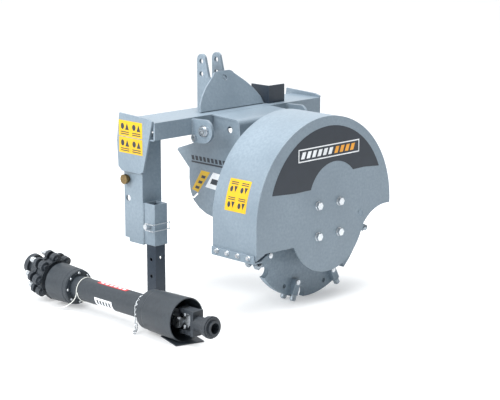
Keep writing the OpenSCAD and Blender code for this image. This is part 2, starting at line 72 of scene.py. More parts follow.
# %% Camera
FLOOR_Z = cad_box[0][2]
CAMERA_HEIGHT, CAMERA_TILT, CAMERA_TURN, CAMERA_LENS = 1.487, 77.5, -45, 109.7
camera = bpy.data.objects.new("camera", bpy.data.cameras.new("camera"))
bpy.context.scene.collection.objects.link(camera)
camera.location = (-3.774, -3.815, FLOOR_Z + CAMERA_HEIGHT)
camera.rotation_euler = (math.radians(CAMERA_TILT), 0, math.radians(CAMERA_TURN))
camera.data.lens = CAMERA_LENS
bpy.context.scene.camera = camera
print("camera at, m:", tuple(round(c, 3) for c in camera.location))

# %% [markdown]
# Two large lamps add shape, one at the left and one overhead. A large lamp gives a shadow with a
# soft edge. Each is turned to face the middle of the frame. The Standard view keeps whites white and
# the paint's colours as they are mixed.

# %% Lamps and view


def lamp(name, place, size, watts):
    data = bpy.data.lights.new(name, "AREA")
    data.size = size
    data.energy = watts
    obj = bpy.data.objects.new(name, data)
    obj.location = place
    obj.rotation_euler = (-Vector(place)).to_track_quat("-Z", "Y").to_euler()
    bpy.context.scene.collection.objects.link(obj)


lamp("key", (-3.4, 0.5, 1.9), 2.2, 105)
lamp("top", (0.2, -0.2, 3.2), 3.0, 125)
bpy.context.scene.view_settings.view_transform = "Standard"
print("lamps:", len(bpy.data.lights))

# %% [markdown]
# Colours are written as the hex values a painter's chart gives, and one function turns them into
# the linear light that the renderer adds up. A second small function adds a shader node, fills its
# sockets and links it, so each material below reads as a short recipe.

# %% Colour and node helpers


def linear(code):
    """Linear RGBA from an sRGB hex colour."""
    parts = [int(code[i:i + 2], 16) / 255 for i in (1, 3, 5)]
    return [c / 12.92 if c <= 0.04045 else ((c + 0.055) / 1.055) ** 2.4 for c in parts] + [1.0]


def add(tree, kind, inputs=None, **settings):
    """A node with its settings, its sockets filled with values or linked from other sockets."""
    new = tree.nodes.new(kind)
    for key, value in settings.items():
        setattr(new, key, value)
    for key, value in (inputs or {}).items():
        if isinstance(value, bpy.types.NodeSocket):
            tree.links.new(value, new.inputs[key])
        else:
            new.inputs[key].default_value = value
    return new


def start_material(name):
    mat = bpy.data.materials.new(name)
    mat.use_nodes = True
    tree = mat.node_tree
    shader = tree.nodes["Principled BSDF"]
    coords = tree.nodes.new("ShaderNodeTexCoord").outputs["Object"]
    return mat, tree, shader, coords


def per_metre(mm):
    """Texture scale whose features are about this many millimetres across."""
    return 1000 / mm


# %% [markdown]
# The sky lights everything the lamps don't. It is bright behind and above the machine and dim in
# front of it, which makes the tops palest and the front faces darkest, as in a light tent.
# The dot product of a sky direction with the bright one says how near the two are.

# %% The sky
BRIGHT_WAY = Vector((-0.3, 0.75, 0.6)).normalized()
world = bpy.data.worlds.new("sky")
bpy.context.scene.world = world
world.use_nodes = True
sky = world.node_tree
direction = sky.nodes.new("ShaderNodeTexCoord").outputs["Generated"]
nearness = add(sky, "ShaderNodeVectorMath", {0: direction, 1: BRIGHT_WAY}, operation="DOT_PRODUCT")
glow = add(sky, "ShaderNodeMapRange", {"Value": nearness.outputs["Value"], "From Min": -0.6,
                                       "From Max": 0.35, "To Min": 0.08, "To Max": 1.15})
sky.links.new(glow.outputs[0], sky.nodes["Background"].inputs["Strength"])
sky.nodes["Background"].inputs["Color"].default_value = (0.97, 0.985, 1.0, 1)
print("sky brightest toward:", tuple(round(c, 2) for c in BRIGHT_WAY))

# %% [markdown]
# Powder coat is a plastic powder baked on to steel. It is even, a little soft in its gloss, and has
# a fine orange-peel ripple. Large faint clouds stand for handling marks, and the Bevel node rounds
# the look of each sheet's cut edge and finds the edges. There the colour is painted lighter: partly
# wear where the coat is thin, partly a painted highlight.
# The same recipe with other colours and a coarser or finer ripple serves the black parts, the
# moulded guards, the painted castings and the wheel.

# %% Coated surfaces
CLOUD_MM, SPECK_MM = 160, 9


# The third colour goes on every edge. It is partly worn coat and partly a painted highlight.
def powder_coat(name, light, dark, edge_wear_and_highlight, rough, peel_mm=2.5, edge_mm=2.0, peel=0.12):
    mat, tree, shader, coords = start_material(name)
    clouds = add(tree, "ShaderNodeTexNoise", {"Vector": coords, "Scale": per_metre(CLOUD_MM),
                                              "Detail": 5.0})
    specks = add(tree, "ShaderNodeTexNoise", {"Vector": coords, "Scale": per_metre(SPECK_MM),
                                              "Detail": 6.0})
    blend = add(tree, "ShaderNodeMath", {0: clouds.outputs["Fac"], 1: specks.outputs["Fac"]},
                operation="MULTIPLY")
    tone = add(tree, "ShaderNodeValToRGB", {"Fac": blend.outputs[0]})
    tone.color_ramp.elements[0].position = 0.12
    tone.color_ramp.elements[0].color = linear(dark)
    tone.color_ramp.elements[1].position = 0.42
    tone.color_ramp.elements[1].color = linear(light)
    # Where the rounded normal turns away from the flat one there is an edge, and there the colour is
    # mixed toward a lighter one: partly wear of the coat, partly a painted highlight.
    round_edge = add(tree, "ShaderNodeBevel", {"Radius": edge_mm * MM}, samples=4)
    flat = add(tree, "ShaderNodeNewGeometry")
    facing = add(tree, "ShaderNodeVectorMath", {0: round_edge.outputs[0], 1: flat.outputs["Normal"]},
                 operation="DOT_PRODUCT")
    edge_wear_and_highlight_mask = add(tree, "ShaderNodeMapRange", {"Value": facing.outputs["Value"], "From Min": 0.99,
                                            "From Max": 0.8, "To Min": 0.0, "To Max": 0.55})
    colour = add(tree, "ShaderNodeMix", {"Factor": edge_wear_and_highlight_mask.outputs[0], "A": tone.outputs["Color"],
                                         "B": linear(edge_wear_and_highlight)}, data_type="RGBA")
    tree.links.new(colour.outputs["Result"], shader.inputs["Base Color"])
    gloss = add(tree, "ShaderNodeMapRange", {"Value": clouds.outputs["Fac"], "From Min": 0.3,
                                             "From Max": 0.7, "To Min": rough - 0.06,
                                             "To Max": rough + 0.08})
    tree.links.new(gloss.outputs[0], shader.inputs["Roughness"])
    ripple = add(tree, "ShaderNodeTexNoise", {"Vector": coords, "Scale": per_metre(peel_mm), "Detail": 2.0})
    bump = add(tree, "ShaderNodeBump", {"Height": ripple.outputs["Fac"], "Strength": peel,
                                        "Distance": 0.4 * MM, "Normal": round_edge.outputs[0]})
    tree.links.new(bump.outputs[0], shader.inputs["Normal"])
    return mat


# Cool grey goes on all the welded sheet and tube, and near black on the legs and the bent flap.
grey_coat = powder_coat("grey_powder_coat", "#84939f", "#74838f", "#a9b7c3", 0.36)
black_coat = powder_coat("black_powder_coat", "#2c3947", "#222d39", "#5f6d7b", 0.38)
# Polyethylene guards come out of a mould with a fine grain, so their ripple is finer and duller.
moulded = powder_coat("moulded_polyethylene", "#30383f", "#232a31", "#525c66", 0.46, 1.2, 1.5, 0.2)
# Sand-cast iron stays rough under its paint.
casting = powder_coat("painted_casting", "#30373f", "#1f252b", "#6a7078", 0.5, 4.0, 1.5, 0.5)
# The wheel has a thin enamel, a little bluer and duller than the frame.
wheel_coat = powder_coat("wheel_enamel", "#8899a6", "#6d7d8a", "#b7c3cc", 0.48, 3.0, 2.0, 0.25)
print("coats:", [m.name for m in (grey_coat, black_coat, moulded, casting, wheel_coat)])

# %% [markdown]
# Zinc plating leaves a bright grey skin with a faint crystal mottle; the yellow kind is passivated
# in a bath that leaves a brassy, uneven film. Turned steel and forged steel are bare and darker.
# All four are metals: the mottle changes both the colour and how sharp the reflections are.

# %% Bare and plated metals
FILM_MM = 14


def plated(name, light, dark, rough, grain_mm):
    mat, tree, shader, coords = start_material(name)
    grain = add(tree, "ShaderNodeTexVoronoi", {"Vector": coords, "Scale": per_metre(grain_mm)})
    film = add(tree, "ShaderNodeTexNoise", {"Vector": coords, "Scale": per_metre(FILM_MM), "Detail": 4.0})
    mixed = add(tree, "ShaderNodeMath", {0: grain.outputs["Distance"], 1: film.outputs["Fac"]},
                operation="MULTIPLY")
    tone = add(tree, "ShaderNodeValToRGB", {"Fac": mixed.outputs[0]})
    tone.color_ramp.elements[0].color = linear(dark)
    tone.color_ramp.elements[1].position = 0.4
    tone.color_ramp.elements[1].color = linear(light)
    tree.links.new(tone.outputs["Color"], shader.inputs["Base Color"])
    gloss = add(tree, "ShaderNodeMapRange", {"Value": film.outputs["Fac"], "From Min": 0.3,
                                             "From Max": 0.7, "To Min": rough - 0.08,
                                             "To Max": rough + 0.1})
    tree.links.new(gloss.outputs[0], shader.inputs["Roughness"])
    shader.inputs["Metallic"].default_value = 1.0
    round_edge = add(tree, "ShaderNodeBevel", {"Radius": 0.8 * MM}, samples=4)
    bump = add(tree, "ShaderNodeBump", {"Height": grain.outputs["Distance"], "Strength": 0.1,
                                        "Distance": 0.2 * MM, "Normal": round_edge.outputs[0]})
    tree.links.new(bump.outputs[0], shader.inputs["Normal"])
    return mat


zinc = plated("bright_zinc", "#e3e7ea", "#a9afb5", 0.3, 1.5)
yellow_zinc = plated("yellow_zinc", "#8f7a55", "#57482e", 0.4, 2.0)
turned_steel = plated("turned_steel", "#b4b9be", "#7f858b", 0.32, 1.0)
forged_steel = plated("forged_steel", "#aab4bc", "#6d7780", 0.38, 3.0)
print("metals:", [m.name for m in (zinc, yellow_zinc, turned_steel, forged_steel)])

# %% [markdown]
# The CAD's own parts stay, and take their looks from the materials above. The record names a finish
# for each part, and the table says which material stands for each finish.

# %% Give every CAD part its finish
FINISH = {
    "paint": grey_coat, "black_paint": black_coat, "zinc": zinc, "bronze": yellow_zinc,
    "steel": turned_steel, "wheel": wheel_coat, "tooth": forged_steel, "guard": moulded,
    "cast_black": casting,
}
slot_of = {row["node"]: row["material_slot"] for row in frame["record"]["subparts"]}
for name, obj in frame["nodes"].items():
    finish = FINISH[slot_of[name]]
    for index in range(len(obj.data.materials)):
        obj.data.materials[index] = finish
    if not obj.data.materials:
        obj.data.materials.append(finish)
print("CAD parts given a finish:", len(slot_of))

# %% [markdown]
# Printed vinyl labels are thin sheets with a satin face. Their marks are cut as separate thin
# shapes, so that they stay crisp. The labels hold only plain bars, triangles and discs. The nylon of
# the tie cord is as smooth and as evenly coloured as vinyl, so it uses the same recipe.

# %% Vinyl and nylon


def vinyl(name, code, rough=0.35):
    mat, tree, shader, coords = start_material(name)
    fade = add(tree, "ShaderNodeTexNoise", {"Vector": coords, "Scale": per_metre(40), "Detail": 4.0})
    base = linear(code)
    tone = add(tree, "ShaderNodeValToRGB", {"Fac": fade.outputs["Fac"]})
    tone.color_ramp.elements[0].position = 0.35
    tone.color_ramp.elements[0].color = [c * 0.88 for c in base[:3]] + [1.0]
    tone.color_ramp.elements[1].position = 0.65
    tone.color_ramp.elements[1].color = base
    tree.links.new(tone.outputs["Color"], shader.inputs["Base Color"])
    shader.inputs["Roughness"].default_value = rough
    grain = add(tree, "ShaderNodeTexNoise", {"Vector": coords, "Scale": per_metre(3)})
    bump = add(tree, "ShaderNodeBump", {"Height": grain.outputs["Fac"], "Strength": 0.06,
                                        "Distance": 0.2 * MM})
    tree.links.new(bump.outputs[0], shader.inputs["Normal"])
    return mat


yellow_vinyl = vinyl("yellow_vinyl", "#dcb000")
dark_vinyl = vinyl("charcoal_vinyl", "#222b36", 0.42)
white_vinyl = vinyl("white_vinyl", "#eef1f4")
orange_vinyl = vinyl("orange_vinyl", "#f2a62c")
red_vinyl = vinyl("red_vinyl", "#c8242a")
white_nylon = vinyl("white_nylon", "#e9ebe6", 0.3)
print("materials so far:", len(bpy.data.materials))

# %% [markdown]
# A label is a flat outline that is laid on a surface. The surface is a small function that takes a
# place on the label and a height above the metal and returns a point in space, so the same code
# lays a label on a flat plate and wraps one round the hood or the guard tube. A label for a curved
# surface is cut into a grid of small cells first, or it would stand off it. Sizes are in mm.

# %% Laying a label on a surface
FILM = (0.05, 0.4)
INK = (0.4, 0.7)


def put(name, bm, mat, body):
    """Turns mesh code's result into a piece that rides on a body."""
    bmesh.ops.recalc_face_normals(bm, faces=bm.faces)
    mesh = bpy.data.meshes.new(name)
    bm.to_mesh(mesh)
    bm.free()
    mesh.materials.append(mat)
    obj = bpy.data.objects.new(name, mesh)
    bpy.context.scene.collection.objects.link(obj)
    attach(obj, body)
    print(name, "faces:", len(mesh.polygons))


def add_prism(bm, outline, surface, low, high):
    """A closed thin solid over an outline of (u, v) points, between two heights."""
    rings = [[bm.verts.new(surface(u, v, h)) for u, v in outline] for h in (low, high)]
    bm.faces.new(rings[0][::-1])
    bm.faces.new(rings[1])
    count = len(outline)
    for i in range(count):
        j = (i + 1) % count
        bm.faces.new((rings[0][i], rings[0][j], rings[1][j], rings[1][i]))


def add_panel(bm, u0, u1, v0, v1, surface, low, high, cells):
    """A closed thin sheet over a rectangle, cut into cells so that it follows a curve."""
    grid = {}
    for side, h in enumerate((low, high)):
        for i in range(cells + 1):
            for j in range(cells + 1):
                u = u0 + (u1 - u0) * i / cells
                v = v0 + (v1 - v0) * j / cells
                grid[side, i, j] = bm.verts.new(surface(u, v, h))
    for i in range(cells):
        for j in range(cells):
            for side in (0, 1):
                bm.faces.new([grid[side, i + a, j + b] for a, b in ((0, 0), (1, 0), (1, 1), (0, 1))])
    for k in range(cells):
        for fixed in (0, cells):
            bm.faces.new([grid[s, k + a, fixed] for s, a in ((0, 0), (0, 1), (1, 1), (1, 0))])
            bm.faces.new([grid[s, fixed, k + a] for s, a in ((0, 0), (0, 1), (1, 1), (1, 0))])


def arc(cx, cy, r, a0, a1, steps):
    angles = [math.radians(a0 + (a1 - a0) * k / steps) for k in range(steps + 1)]
    return [(cx + r * math.cos(a), cy + r * math.sin(a)) for a in angles]


def bar(u, v, width, height, lean=0.0):
    """A slanted bar's four corners, from its lower left."""
    return [(u, v), (u + width, v), (u + width + lean, v + height), (u + lean, v + height)]


# %% [markdown]
# The front plate's decal is a charcoal crescent that follows the hood's arc, with a thin white
# frame near its top. In place of a name the frame holds slanted bars, white and then orange.
# Heights are counted down from the beam's top.

# %% Front plate decal
top_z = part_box("beam")[1][2]
front_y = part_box("front_plate")[0][1]


def on_front(x, z, h):
    return Vector((x * MM, front_y - h * MM, top_z + z * MM))


bm = bmesh.new()
crescent = arc(14, -300, 289, 162.5, 23.5, 60) + [(200, -178)] + arc(46, -264, 127, 42, 160, 36)
crescent += [(-150, -221)]
add_prism(bm, crescent, on_front, *FILM)
put("front_decal", bm, dark_vinyl, "frame")

FRAME_LOW, FRAME_HIGH, FRAME_LEFT, FRAME_RIGHT, LINE = -120, -75, -136, 171, 4
frame_wide, frame_tall = FRAME_RIGHT - FRAME_LEFT, FRAME_HIGH - FRAME_LOW - 2 * LINE
WHITE_FROM, ORANGE_FROM, BAR_STEP, BAR_FOOT = -124, 42, 27, -109
BAR = (17, 23, 9)
bm = bmesh.new()
for u, v, width, height in (
    (FRAME_LEFT, FRAME_LOW, frame_wide, LINE),
    (FRAME_LEFT, FRAME_HIGH - LINE, frame_wide, LINE),
    (FRAME_LEFT, FRAME_LOW + LINE, LINE, frame_tall),
    (FRAME_RIGHT - LINE, FRAME_LOW + LINE, LINE, frame_tall),
):
    add_prism(bm, bar(u, v, width, height), on_front, *INK)
for k in range(6):
    add_prism(bm, bar(WHITE_FROM + BAR_STEP * k, BAR_FOOT, *BAR), on_front, *INK)
put("decal_white_bars", bm, white_vinyl, "frame")
bm = bmesh.new()
for k in range(4):
    add_prism(bm, bar(ORANGE_FROM + BAR_STEP * k, BAR_FOOT, *BAR), on_front, *INK)
put("decal_orange_bars", bm, orange_vinyl, "frame")

# %% [markdown]
# A turned cap closes the hole through which the wheel's bolts are reached. It is a profile of
# radius and height spun about its own centre, so its rim is rounded in the mesh itself.

# %% Cap in the front plate
CAP_RIGHT, CAP_DOWN, CAP_STEPS = 167, 6, 40
shaft_low, shaft_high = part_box("cutter_shaft")
cap_x = (shaft_low[0] + shaft_high[0]) / 2 + CAP_RIGHT * MM
cap_z = (shaft_low[2] + shaft_high[2]) / 2 - CAP_DOWN * MM
cap_profile = [(13.5, 0.05), (13.8, 0.9), (13.2, 1.8), (11.8, 2.2), (10.2, 1.6), (8.5, 1.2), (3.0, 1.1)]
turns = [math.tau * k / CAP_STEPS for k in range(CAP_STEPS)]
bm = bmesh.new()
cap_rings = [[bm.verts.new((cap_x + radius * MM * math.cos(a), front_y - rise * MM,
                            cap_z + radius * MM * math.sin(a))) for a in turns]
             for radius, rise in cap_profile]
for one, two in zip(cap_rings, cap_rings[1:]):
    for k in range(CAP_STEPS):
        after = (k + 1) % CAP_STEPS
        bm.faces.new((one[k], one[after], two[after], two[k]))
bm.faces.new(cap_rings[0][::-1])
bm.faces.new(cap_rings[-1])
put("front_cap", bm, wheel_coat, "frame")

# %% [markdown]
# The other labels sit on plates that face left, and round the hood and the guard tube. Two small
# makers of surfaces serve them all: one for a plate, and one for anything that curves about a line
# along Y. One function draws the marks of a panel at any size, so that all panels match.

# %% Surfaces and marks for the labels


def on_left_plate(face_x):
    """Takes y and z in mm, z down from the beam's top."""
    return lambda y, z, h: Vector((face_x - h * MM, y * MM, top_z + z * MM))


def round_line(centre_x, centre_z, radius):
    """Takes y in mm and an angle in degrees, 180 being the left side."""
    def place(y, angle, h):
        a = math.radians(angle)
        r = radius + h * MM
        return Vector((centre_x + r * math.cos(a), y * MM, centre_z + r * math.sin(a)))
    return place


def sign_marks(bm, surface, u0, v0, du, dv):
    """Plain shapes for one panel: a triangle, a disc and two short bars."""
    add_prism(bm, [(u0 + a * du, v0 + b * dv) for a, b in ((0.12, 0.42), (0.46, 0.42), (0.29, 0.85))],
              surface, *INK)
    add_prism(bm, [(u0 + du * (0.7 + 0.15 * math.cos(a * math.pi / 8)),
                    v0 + dv * (0.64 + 0.2 * math.sin(a * math.pi / 8))) for a in range(16)],
              surface, *INK)
    for k in range(2):
        add_prism(bm, bar(u0 + 0.12 * du, v0 + (0.12 + 0.13 * k) * dv, 0.74 * du, 0.06 * dv),
                  surface, *INK)


# %% [markdown]
# Two yellow labels, one above the other, are stuck flat on the left end plate, each with two panels
# of marks. The plate is flat, so a few cells are enough.

# %% Labels on the end plate
on_end_plate = on_left_plate(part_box("left_end_plate")[0][0])
bm = bmesh.new()
marks = bmesh.new()
for z in (-61, -119):
    add_panel(bm, 56, 178, z, z + 55, on_end_plate, *FILM, cells=2)
    for u in (58, 118):
        sign_marks(marks, on_end_plate, u, z, 58, 54)
put("end_plate_labels", bm, yellow_vinyl, "frame")
put("end_plate_marks", marks, dark_vinyl, "frame")

# %% [markdown]
# The hood's label bends with its rim. The rim's circle is found from its box: half its width is the
# radius, and its top less the radius is the centre's height. The label's second size is an angle.

# %% Label round the hood
rim_low, rim_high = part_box("hood_rim")
hood_r = (rim_high[0] - rim_low[0]) / 2
hood_x = (rim_high[0] + rim_low[0]) / 2
hood_z = rim_high[2] - hood_r
on_hood = round_line(hood_x, hood_z, hood_r)
bm = bmesh.new()
marks = bmesh.new()
add_panel(bm, -351, -252, 154, 172.5, on_hood, *FILM, cells=12)
for u in (-348, -300):
    for v in (154.6, 163.5):
        sign_marks(marks, on_hood, u, v, 44, 8.4)
put("hood_label", bm, yellow_vinyl, "frame")
put("hood_label_marks", marks, dark_vinyl, "frame")

# %% [markdown]
# The cheek has a yellow label and a white one, both cut to slanted shapes, so each is an outline
# rather than a panel. A thin line with a row of bars above it is printed straight on the paint.

# %% Labels on the cheek
cheek_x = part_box("left_cheek")[0][0]
on_cheek = on_left_plate(cheek_x)
bm = bmesh.new()
marks = bmesh.new()
add_prism(bm, [(63, -209), (18, -211), (81, -292), (112, -284)], on_cheek, *FILM)
for k in range(3):
    u, v = 48 + 16 * k, -226 - 21 * k
    add_prism(marks, [(u + 11, v), (u - 9, v - 2), (u - 1, v - 12), (u + 17, v - 10)], on_cheek, *INK)
put("cheek_yellow_label", bm, yellow_vinyl, "frame")
bm = bmesh.new()
add_prism(bm, [(3, -209), (-43, -211), (-18, -271), (44, -267)], on_cheek, *FILM)
put("cheek_white_label", bm, white_vinyl, "frame")
add_prism(marks, [(8, -232), (-32, -234), (-24, -254), (18, -251)], on_cheek, *INK)
add_prism(marks, bar(-66, -186, 180, 6), on_cheek, *FILM)
for k in range(9):
    add_prism(marks, bar(-62 + 20 * k, -176, 13, 16, 4), on_cheek, *FILM)
put("cheek_marks", marks, dark_vinyl, "frame")

# %% [markdown]
# The driveline's guard carries a white label with short bars and, further round, a red one. They wrap
# the tube, so their outlines are a place along it and an angle round it. Here 90 degrees is the top.

# %% Labels on the guard tube
tube_low, tube_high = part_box("guard_tube")
line_x = (tube_low[0] + tube_high[0]) / 2
line_z = (tube_low[2] + tube_high[2]) / 2
tube_r = (tube_high[2] - tube_low[2]) / 2
on_tube = round_line(line_x, line_z, tube_r)
bm = bmesh.new()
add_panel(bm, -84, 4, 180, 236, on_tube, *FILM, cells=10)
marks = bmesh.new()
for k in range(5):
    add_panel(marks, -74 + 15 * k, -66 + 15 * k, 190, 214, on_tube, *INK, cells=4)
put("tube_marks", marks, dark_vinyl, "driveline")
for k in range(6):
    add_panel(bm, -112 + 22 * k, -98 + 22 * k, 84, 97, on_tube, *INK, cells=4)
put("tube_white_label", bm, white_vinyl, "driveline")
bm = bmesh.new()
add_panel(bm, -122, 24, 68, 104, on_tube, *FILM, cells=10)
put("tube_red_label", bm, red_vinyl, "driveline")

# %% [markdown]
# A white nylon cord ties the guard for transport. It goes once round the tube and its free end
# drops to the floor. A cord is one smooth line with a round section, so it is a curve here.
# The drop is a Bezier arc through four control points.

# %% Tie cord
CORD_R, CORD_GAP, DROP_STEPS = 1.5, 0.1, 16
TIE_Y0, TIE_Y1 = 92, 97
tie_r = tube_r / MM + CORD_R + CORD_GAP
tie = [Vector((tie_r * math.cos(math.radians(a)), TIE_Y0 + (TIE_Y1 - TIE_Y0) * (a + 175) / 360,
               tie_r * math.sin(math.radians(a)))) for a in range(-175, 186, 8)]
floor_drop = (FLOOR_Z - line_z) / MM + CORD_R + 2 * CORD_GAP
leave = tie[-1]
pulls = [leave, leave + Vector((0, 3, -36)), Vector((-57, 150, floor_drop)), Vector((-66, 196, floor_drop))]
for step in range(1, DROP_STEPS + 1):
    t = step / DROP_STEPS
    tie.append(pulls[0] * (1 - t) ** 3 + pulls[1] * 3 * t * (1 - t) ** 2 + pulls[2] * 3 * t ** 2 * (1 - t)
               + pulls[3] * t ** 3)
tie = [Vector((line_x, 0, line_z)) + p * MM for p in tie]
tie_curve = bpy.data.curves.new("tie_cord", "CURVE")
tie_curve.dimensions = "3D"
tie_curve.bevel_depth = CORD_R * MM
tie_curve.bevel_resolution = 3
tie_curve.use_fill_caps = True
spline = tie_curve.splines.new("POLY")
spline.points.add(len(tie) - 1)
for point, place in zip(spline.points, tie):
    point.co = (*place, 1)
tie_curve.materials.append(white_nylon)
tie_cord = bpy.data.objects.new("tie_cord", tie_curve)
bpy.context.scene.collection.objects.link(tie_cord)
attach(tie_cord, "driveline")

# %% [markdown]
# Things that repeat are made with Geometry Nodes. A tree has named inputs for its sizes, does its
# work, and ends by making every copy real and giving it a finish. It runs on a small mesh that holds
# only points or a path, and the result is then kept as a plain mesh, so nothing live is left.

# %% Geometry Nodes helpers


def gn_tree(name, inputs):
    """A tree with one input for each named size: its sockets and their identifiers."""
    tree = bpy.data.node_groups.new(name, "GeometryNodeTree")
    tree.interface.new_socket("Geometry", in_out="OUTPUT", socket_type="NodeSocketGeometry")
    tree.interface.new_socket("Geometry", in_out="INPUT", socket_type="NodeSocketGeometry")
    ids = {}
    for label, default in inputs.items():
        kind = "NodeSocketInt" if isinstance(default, int) else "NodeSocketFloat"
        socket = tree.interface.new_socket(label, in_out="INPUT", socket_type=kind)
        socket.default_value = default
        ids[label] = socket.identifier
    source = tree.nodes.new("NodeGroupInput")
    result = tree.nodes.new("NodeGroupOutput")
    return tree, source.outputs, result.inputs, ids


def close_tree(tree, geometry, result, mat):
    real = add(tree, "GeometryNodeRealizeInstances", {"Geometry": geometry})
    painted = add(tree, "GeometryNodeSetMaterial", {"Geometry": real.outputs[0], "Material": mat})
    tree.links.new(painted.outputs[0], result["Geometry"])


def path_mesh(name, paths):
    """One mesh object of plain edges, a chain of edges for each path of points in metres."""
    mesh = bpy.data.meshes.new(name)
    verts, edges = [], []
    for path in paths:
        first = len(verts)
        verts += [tuple(p) for p in path]
        edges += [(first + i, first + i + 1) for i in range(len(path) - 1)]
    mesh.from_pydata(verts, edges, [])
    obj = bpy.data.objects.new(name, mesh)
    bpy.context.scene.collection.objects.link(obj)
    return obj


def bake_nodes(obj, tree, ids, values, body):
    """Runs the tree on the object, keeps the result as a plain mesh, and makes it ride."""
    mod = obj.modifiers.new("nodes", "NODES")
    mod.node_group = tree
    for label, value in values.items():
        mod[ids[label]] = value
    graph = bpy.context.evaluated_depsgraph_get()
    mesh = bpy.data.meshes.new_from_object(obj.evaluated_get(graph))
    obj.modifiers.clear()
    obj.data = mesh
    for poly in mesh.polygons:
        poly.use_smooth = True
    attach(obj, body)
    print(obj.name, "faces:", len(mesh.polygons))


# %% [markdown]
# A weld is a run of small overlapping drops, as the torch leaves them. This tree takes a path,
# spaces points along it and sets a round drop on each. The sunk half of a drop is inside the steel,
# and the paint goes over steel and weld alike.

# %% The weld's tree
weld_tree, src, out, weld_ids = gn_tree("weld_bead", {"Pitch": 0.005, "Radius": 0.004})
seam = add(weld_tree, "GeometryNodeMeshToCurve", {"Mesh": src["Geometry"]})
spaced = add(weld_tree, "GeometryNodeResampleCurve", {"Curve": seam.outputs[0], "Length": src["Pitch"]},
             mode="LENGTH")
drop = add(weld_tree, "GeometryNodeMeshIcoSphere", {"Radius": src["Radius"], "Subdivisions": 2})
drops = add(weld_tree, "GeometryNodeInstanceOnPoints", {
    "Points": spaced.outputs[0], "Instance": drop.outputs[0]})
close_tree(weld_tree, drops.outputs[0], out, grey_coat)
print("weld tree's nodes:", len(weld_tree.nodes))

# %% [markdown]
# The welds run along the feet of the mast ears and the gusset, down the lugs, the cheeks and the leg
# sockets, under the beam's ends and round the hood's rim. All but the rim and the beam's middle are
# the same on both sides, so a loop over -1 and 1 lays them.

# %% Weld beads
EAR_FACES = (-42, -32, 32, 42)
LUG_X, LUG_HALF = 237, 5
SOCKET_FACES, SOCKET_FRONT = (352.5, 409.5), 67
UNDER_BEAM = ((413, 8, 142), (327, 72, 140))
RIM_INSET = 5
top = top_z / MM
under = top - 61
cheek_reach = -cheek_x / MM
hood_back_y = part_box("hood_back")[1][1] / MM


def span(a, b):
    return [Vector(a) * MM, Vector(b) * MM]


welds = [span((x, 62, top), (x, 148, top)) for x in EAR_FACES]
welds.append(span((-150, 51, top + 1), (150, 51, top + 1)))
for side in (-1, 1):
    for face in (-LUG_HALF, LUG_HALF):
        x = side * LUG_X + face
        welds.append(span((x, -1, top - 8), (x, -1, top - 58)))
    x, y = side * cheek_reach, hood_back_y + 1
    welds.append(span((x, y, top - 122), (x, y, top - 380)))
    for face in SOCKET_FACES:
        x = side * face
        welds.append(span((x, SOCKET_FRONT, top - 428), (x, SOCKET_FRONT, top - 290)))
    for x, front, back in UNDER_BEAM:
        welds.append(span((side * x, front, under), (side * x, back, under)))
rim_r = hood_r - RIM_INSET * MM
welds.append([Vector((hood_x + rim_r * math.cos(math.radians(a)), hood_back_y * MM + 1 * MM,
                      hood_z + rim_r * math.sin(math.radians(a)))) for a in range(0, 181, 3)])
bake_nodes(path_mesh("weld_beads", welds), weld_tree, weld_ids, {"Pitch": 0.0055, "Radius": 0.0038},
           "frame")

# %% [markdown]
# The clutch is squeezed by a ring of coil springs. One spring is a helix given a round wire, with a
# hex nut on its end, and the tree sets a copy on each seat. The clutch leans, so the springs stand
# along its slip axis, which the frame's joint gives. The CAD has plain sleeves in their place, which
# these replace.

# %% Clutch springs
SPRINGS, SPRING_RING, SPRING_SEAT, NUT_UP = 8, 66 * MM, 19 * MM, 26.5 * MM
slip = next(j for j in frame["joints"] if j["name"] == "clutch_slip")
slip_at, slip_axis = Vector(slip["pos_m"]), Vector(slip["axis"]).normalized()
lean = math.asin(slip_axis.z)
coil_tree, src, out, coil_ids = gn_tree("coil_springs", {
    "Coil Radius": 0.0088, "Length": 0.022, "Wire": 0.0017})
helix = add(coil_tree, "GeometryNodeCurveSpiral", {
    "Resolution": 20, "Rotations": 4.5, "Start Radius": src["Coil Radius"],
    "End Radius": src["Coil Radius"], "Height": src["Length"]})
wire = add(coil_tree, "GeometryNodeCurvePrimitiveCircle", {"Resolution": 8, "Radius": src["Wire"]})
coil = add(coil_tree, "GeometryNodeCurveToMesh", {
    "Curve": helix.outputs[0], "Profile Curve": wire.outputs[0], "Fill Caps": True})
nut = add(coil_tree, "GeometryNodeMeshCylinder", {"Vertices": 6, "Radius": 0.0092, "Depth": 0.008})
nut_up = add(coil_tree, "GeometryNodeTransform", {
    "Geometry": nut.outputs["Mesh"], "Translation": (0, 0, NUT_UP)})
both = add(coil_tree, "GeometryNodeJoinGeometry", {})
for part in (coil, nut_up):
    coil_tree.links.new(part.outputs[0], both.inputs[0])
copies = add(coil_tree, "GeometryNodeInstanceOnPoints", {
    "Points": src["Geometry"], "Instance": both.outputs[0], "Rotation": (lean - math.pi / 2, 0, 0)})
close_tree(coil_tree, copies.outputs[0], out, zinc)
across = Vector((1, 0, 0))
upward = across.cross(slip_axis)
seats = []
for k in range(SPRINGS):
    a = math.tau * k / SPRINGS
    seats.append(slip_at + slip_axis * SPRING_SEAT
                 + (across * math.cos(a) + upward * math.sin(a)) * SPRING_RING)
springs = path_mesh("clutch_coils", [[p] for p in seats])
bake_nodes(springs, coil_tree, coil_ids, {"Length": 0.021}, "clutch")
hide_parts("clutch_springs")

# %% [markdown]
# Hex screw heads stand in a ring round the far end of the guard. The tree turns a circle into points
# and sets a head on each, so a different number of screws is one number. The circle is made flat, and
# is then stood up and moved to the guard's own line.

